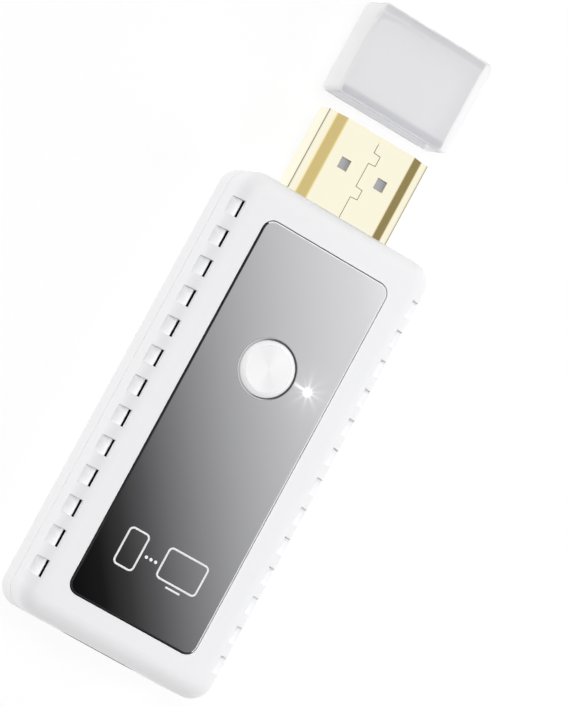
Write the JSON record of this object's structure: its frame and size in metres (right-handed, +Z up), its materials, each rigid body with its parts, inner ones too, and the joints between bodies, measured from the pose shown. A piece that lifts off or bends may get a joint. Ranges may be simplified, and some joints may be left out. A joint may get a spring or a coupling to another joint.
{
  "type": "wireless display adapter",
  "caption": "Pocket-size wireless display adapter with a mirror-finish panel, push button, vented edges, video plug with a loose cap, and power inlet.",
  "frame": {"origin": "centre of the case's flat underside, under the middle of its length and width", "axes": "+X across the case towards the status light, +Y along the case towards the video plug, +Z up out of the panel"},
  "size_m": [0.0256, 0.0801, 0.0116],
  "materials": {
    "white_case": "satin moulded plastic",
    "mirror_panel": "dark mirror-finish acrylic",
    "black_adhesive": "foam adhesive",
    "spun_metal": "spun, fine rings",
    "grey_plastic": "moulded",
    "bright_trim": "polished",
    "clear_window": "clear, lit from below",
    "black_plastic": "moulded",
    "steel": "bright stamped sheet",
    "circuit_board": "solder mask",
    "gold_plating": "polished gold plating",
    "chip_resin": "moulded resin",
    "soft_pad": "soft pad",
    "bare_aluminium": "extruded",
    "ceramic": "fired ceramic",
    "frosted_cap": "frosted translucent plastic"
  },
  "bodies": {
    "case": {"top_shell": "white_case", "bottom_shell": "white_case", "face_panel": "mirror_panel", "panel_tape": "black_adhesive", "button_ring": "bright_trim", "light_pipe": "clear_window", "status_led": "clear_window", "switch_body": "black_plastic", "switch_cover": "steel", "main_board": "circuit_board", "plug_shell": "gold_plating", "plug_insulator": "grey_plastic", "plug_contacts_upper": "gold_plating", "plug_contacts_lower": "gold_plating", "inlet_shell": "steel", "inlet_tongue": "black_plastic", "inlet_contacts": "gold_plating", "processor": "chip_resin", "thermal_pad": "soft_pad", "heat_sink": "bare_aluminium", "memory_chip": "chip_resin", "flash_chip": "chip_resin", "radio_chip": "chip_resin", "radio_shield": "steel", "antenna": "gold_plating", "crystal": "steel", "inductors": "chip_resin", "capacitors": "ceramic", "regulator": "chip_resin", "resistors": "chip_resin"},
    "button": {"button_cap": "spun_metal", "button_stem": "grey_plastic"},
    "plunger": {"switch_plunger": "black_plastic"},
    "cap": {"plug_cap": "frosted_cap"}
  },
  "joints": [
    {"name": "button_press", "type": "slide", "parent": "case", "child": "button", "axis": [0, 0, -1], "range_m": [0, 0.0003], "stiffness_N_per_m": 2000},
    {"name": "plunger_press", "type": "slide", "parent": "case", "child": "plunger", "axis": [0, 0, -1], "range_m": [0, 0.0003]},
    {"name": "cap_slide", "type": "slide", "parent": "case", "child": "cap", "axis": [0, 1, 0], "range_m": [-0.0122, 0]}
  ],
  "couplings": [
    {"joint": "plunger_press", "follows": "button_press", "ratio": 1}
  ]
}
